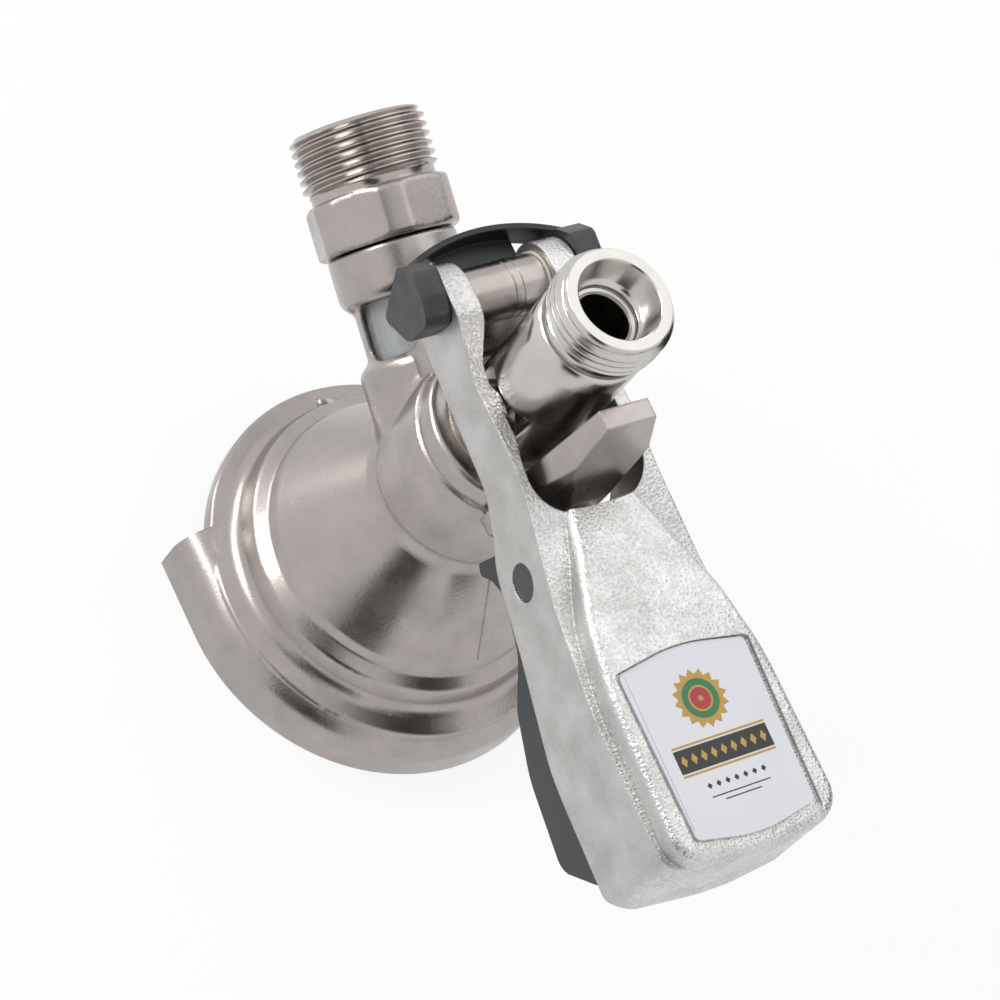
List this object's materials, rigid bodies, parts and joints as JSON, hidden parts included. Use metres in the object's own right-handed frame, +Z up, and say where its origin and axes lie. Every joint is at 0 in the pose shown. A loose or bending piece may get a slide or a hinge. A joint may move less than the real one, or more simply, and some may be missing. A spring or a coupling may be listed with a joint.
{
  "type": "keg coupler",
  "caption": "Slide-on keg coupler with a hinged lever, a squeeze trigger, a sliding probe and a side gas inlet.",
  "frame": {"origin": "on the probe's axis, in the plane of the foot's underside", "axes": "+Z up along the probe towards the outlet, +X along the lever towards its grip, Y along the lever's hinge"},
  "size_m": [0.1648, 0.0818, 0.1185],
  "materials": {
    "cast_stainless": "satin investment casting",
    "machined_stainless": "fine turned",
    "blasted_alloy": "bead blasted die casting",
    "trigger_plastic": "fine grained",
    "clip_plastic": "moulded",
    "pin_plastic": "moulded",
    "label_vinyl": "glossy",
    "seal_rubber": "satin",
    "sight_plastic": "clear",
    "bearing_plastic": "turned",
    "spring_steel": "drawn wire"
  },
  "bodies": {
    "body": {"body_casting": "cast_stainless", "keg_seal": "seal_rubber", "guide_bush": "bearing_plastic", "sight_seal_lower": "seal_rubber", "sight_tube": "sight_plastic", "sight_seal_upper": "seal_rubber", "gas_nipple": "cast_stainless", "nipple_o_ring": "seal_rubber", "lip_valve": "seal_rubber", "lip_valve_ring": "bearing_plastic", "hinge_washer_left": "bearing_plastic", "hinge_washer_right": "bearing_plastic", "hinge_pin": "machined_stainless", "hinge_clip": "clip_plastic"},
    "probe": {"probe_tube": "machined_stainless", "probe_o_ring": "seal_rubber", "probe_tip_seal": "seal_rubber", "probe_tip_ring": "machined_stainless"},
    "handle": {"handle_casting": "blasted_alloy", "label_plate": "label_vinyl", "drive_stud_left": "machined_stainless", "drive_stud_right": "machined_stainless", "trigger_pin": "pin_plastic", "trigger_spring": "spring_steel"},
    "trigger": {"trigger": "trigger_plastic"}
  },
  "joints": [
    {"name": "handle_hinge", "type": "hinge", "parent": "body", "child": "handle", "pos_m": [-0.0205, 0, 0.0847], "axis": [0, -1, 0], "range_deg": [0, 38]},
    {"name": "probe_slide", "type": "slide", "parent": "body", "child": "probe", "axis": [0, 0, 1], "range_m": [0, 0.0138]},
    {"name": "trigger_hinge", "type": "hinge", "parent": "handle", "child": "trigger", "pos_m": [0.0314, 0, 0.0745], "axis": [0, -1, 0], "range_deg": [0, 10], "stiffness_Nm_per_rad": 0.9, "springref_deg": -17.19}
  ],
  "couplings": [
    {"joint": "probe_slide", "follows": "handle_hinge", "m_per_rad": 0.0206}
  ]
}
